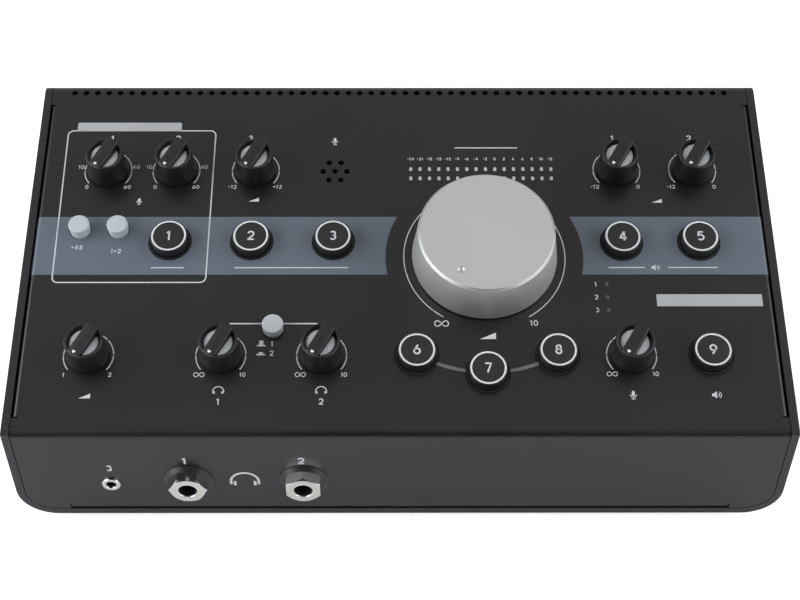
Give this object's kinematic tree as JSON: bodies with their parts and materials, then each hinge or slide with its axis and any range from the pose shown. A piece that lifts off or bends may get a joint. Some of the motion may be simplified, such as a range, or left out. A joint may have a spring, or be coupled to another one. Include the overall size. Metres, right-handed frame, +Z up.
{
  "type": "studio monitor controller",
  "caption": "Wedge-shaped desktop controller with a large volume dial, small knobs, lit push buttons, a lamp meter and headphone jacks for studio loudspeakers.",
  "frame": {"origin": "on the desk under the middle of the bounding box, level with the soles of the feet", "axes": "+X to the user's right, +Y to the back where the sockets are, +Z up; the control panel slopes up towards the back"},
  "size_m": [0.29, 0.168, 0.0854],
  "materials": {
    "shell": "dark satin paint on thick aluminium",
    "panel": "fine matt dark paint with pale print",
    "rear_plate": "fine matt dark paint",
    "feet": "matt",
    "dark_screws": "blackened",
    "board": "green solder mask",
    "pillars": "turned",
    "plated_screws": "zinc plated",
    "ribbon": "grey ribbon with black plugs",
    "pots": "pressed steel cans",
    "switches": "black moulding",
    "meter_lamps": "clear white light pipes",
    "status_lamps": "clear light pipes, unlit",
    "capsule": "plain",
    "boot": "matt",
    "jacks": "black moulding",
    "washers": "black, smooth",
    "nuts": "nickel plated",
    "sockets": "black moulding",
    "port": "plain",
    "volume_knob": "turned satin face with a bright edge",
    "shafts": "turned",
    "knobs": "dark soft-touch body with pale grey inlay",
    "buttons": "black cap with a milky ring",
    "latch_caps": "pale grey"
  },
  "bodies": {
    "case": {"outer_shell": "shell", "top_panel": "panel", "rear_panel": "rear_plate", "rubber_feet": "feet", "case_screws": "dark_screws", "main_board": "board", "rear_board": "board", "jack_board": "board", "standoffs": "pillars", "board_screws": "plated_screws", "ribbon_cables": "ribbon", "small_pots": "pots", "volume_pot": "pots", "button_switches": "switches", "latch_switches": "switches", "meter_lamps": "meter_lamps", "status_lamps": "status_lamps", "mic_capsule": "capsule", "mic_boot": "boot", "phone_jacks": "jacks", "jack_washers": "washers", "jack_nuts": "nuts", "mini_jack": "jacks", "mini_jack_ring": "nuts", "combo_sockets": "sockets", "data_port": "port", "dc_inlet": "sockets"},
    "knob_1_turns": {"knob_1": "knobs", "knob_shaft_1": "shafts"},
    "knob_2_turns": {"knob_2": "knobs", "knob_shaft_2": "shafts"},
    "knob_3_turns": {"knob_3": "knobs", "knob_shaft_3": "shafts"},
    "knob_4_turns": {"knob_4": "knobs", "knob_shaft_4": "shafts"},
    "knob_5_turns": {"knob_5": "knobs", "knob_shaft_5": "shafts"},
    "knob_6_turns": {"knob_6": "knobs", "knob_shaft_6": "shafts"},
    "knob_7_turns": {"knob_7": "knobs", "knob_shaft_7": "shafts"},
    "knob_8_turns": {"knob_8": "knobs", "knob_shaft_8": "shafts"},
    "knob_9_turns": {"knob_9": "knobs", "knob_shaft_9": "shafts"},
    "volume_turns": {"volume_knob": "volume_knob", "volume_shaft": "shafts"},
    "button_1_moves": {"button_1": "buttons"},
    "button_2_moves": {"button_2": "buttons"},
    "button_3_moves": {"button_3": "buttons"},
    "button_4_moves": {"button_4": "buttons"},
    "button_5_moves": {"button_5": "buttons"},
    "button_6_moves": {"button_6": "buttons"},
    "button_7_moves": {"button_7": "buttons"},
    "button_8_moves": {"button_8": "buttons"},
    "button_9_moves": {"button_9": "buttons"},
    "latch_1_moves": {"latch_button_1": "latch_caps"},
    "latch_2_moves": {"latch_button_2": "latch_caps"},
    "latch_3_moves": {"latch_button_3": "latch_caps"}
  },
  "joints": [
    {"name": "knob_1_turn", "type": "hinge", "parent": "case", "child": "knob_1_turns", "pos_m": [-0.1157, 0.03669, 0.06917], "axis": [0, -0.1564, 0.9877], "range_deg": [-298, 0]},
    {"name": "knob_2_turn", "type": "hinge", "parent": "case", "child": "knob_2_turns", "pos_m": [-0.0887, 0.03669, 0.06917], "axis": [0, -0.1564, 0.9877], "range_deg": [-298, 0]},
    {"name": "knob_3_turn", "type": "hinge", "parent": "case", "child": "knob_3_turns", "pos_m": [-0.0572, 0.03669, 0.06917], "axis": [0, -0.1564, 0.9877], "range_deg": [-298, 0]},
    {"name": "knob_4_turn", "type": "hinge", "parent": "case", "child": "knob_4_turns", "pos_m": [0.0861, 0.03689, 0.0692], "axis": [0, -0.1564, 0.9877], "range_deg": [-298, 0]},
    {"name": "knob_5_turn", "type": "hinge", "parent": "case", "child": "knob_5_turns", "pos_m": [0.1162, 0.03689, 0.0692], "axis": [0, -0.1564, 0.9877], "range_deg": [-298, 0]},
    {"name": "knob_6_turn", "type": "hinge", "parent": "case", "child": "knob_6_turns", "pos_m": [-0.1159, -0.04469, 0.05628], "axis": [0, -0.1564, 0.9877], "range_deg": [-298, 0]},
    {"name": "knob_7_turn", "type": "hinge", "parent": "case", "child": "knob_7_turns", "pos_m": [-0.0667, -0.04469, 0.05628], "axis": [0, -0.1564, 0.9877], "range_deg": [-298, 0]},
    {"name": "knob_8_turn", "type": "hinge", "parent": "case", "child": "knob_8_turns", "pos_m": [-0.0292, -0.04469, 0.05628], "axis": [0, -0.1564, 0.9877], "range_deg": [-298, 0]},
    {"name": "knob_9_turn", "type": "hinge", "parent": "case", "child": "knob_9_turns", "pos_m": [0.0861, -0.04469, 0.05628], "axis": [0, -0.1564, 0.9877], "range_deg": [-298, 0]},
    {"name": "volume_turn", "type": "hinge", "parent": "case", "child": "volume_turns", "pos_m": [0.03249, -0.00242, 0.06297], "axis": [0, -0.1564, 0.9877], "range_deg": [-298.8, 0]},
    {"name": "button_1_press", "type": "slide", "parent": "case", "child": "button_1_moves", "axis": [0, -0.1564, 0.9877], "range_m": [-0.0015, 0], "stiffness_N_per_m": 400, "springref_m": 0.001},
    {"name": "button_2_press", "type": "slide", "parent": "case", "child": "button_2_moves", "axis": [0, -0.1564, 0.9877], "range_m": [-0.0015, 0], "stiffness_N_per_m": 400, "springref_m": 0.001},
    {"name": "button_3_press", "type": "slide", "parent": "case", "child": "button_3_moves", "axis": [0, -0.1564, 0.9877], "range_m": [-0.0015, 0], "stiffness_N_per_m": 400, "springref_m": 0.001},
    {"name": "button_4_press", "type": "slide", "parent": "case", "child": "button_4_moves", "axis": [0, -0.1564, 0.9877], "range_m": [-0.0015, 0], "stiffness_N_per_m": 400, "springref_m": 0.001},
    {"name": "button_5_press", "type": "slide", "parent": "case", "child": "button_5_moves", "axis": [0, -0.1564, 0.9877], "range_m": [-0.0015, 0], "stiffness_N_per_m": 400, "springref_m": 0.001},
    {"name": "button_6_press", "type": "slide", "parent": "case", "child": "button_6_moves", "axis": [0, -0.1564, 0.9877], "range_m": [-0.0015, 0], "stiffness_N_per_m": 400, "springref_m": 0.001},
    {"name": "button_7_press", "type": "slide", "parent": "case", "child": "button_7_moves", "axis": [0, -0.1564, 0.9877], "range_m": [-0.0015, 0], "stiffness_N_per_m": 400, "springref_m": 0.001},
    {"name": "button_8_press", "type": "slide", "parent": "case", "child": "button_8_moves", "axis": [0, -0.1564, 0.9877], "range_m": [-0.0015, 0], "stiffness_N_per_m": 400, "springref_m": 0.001},
    {"name": "button_9_press", "type": "slide", "parent": "case", "child": "button_9_moves", "axis": [0, -0.1564, 0.9877], "range_m": [-0.0015, 0], "stiffness_N_per_m": 400, "springref_m": 0.001},
    {"name": "latch_1_press", "type": "slide", "parent": "case", "child": "latch_1_moves", "axis": [0, -0.1564, 0.9877], "range_m": [-0.0025, 0]},
    {"name": "latch_2_press", "type": "slide", "parent": "case", "child": "latch_2_moves", "axis": [0, -0.1564, 0.9877], "range_m": [-0.0025, 0]},
    {"name": "latch_3_press", "type": "slide", "parent": "case", "child": "latch_3_moves", "axis": [0, -0.1564, 0.9877], "range_m": [-0.0015, 0.001]}
  ]
}
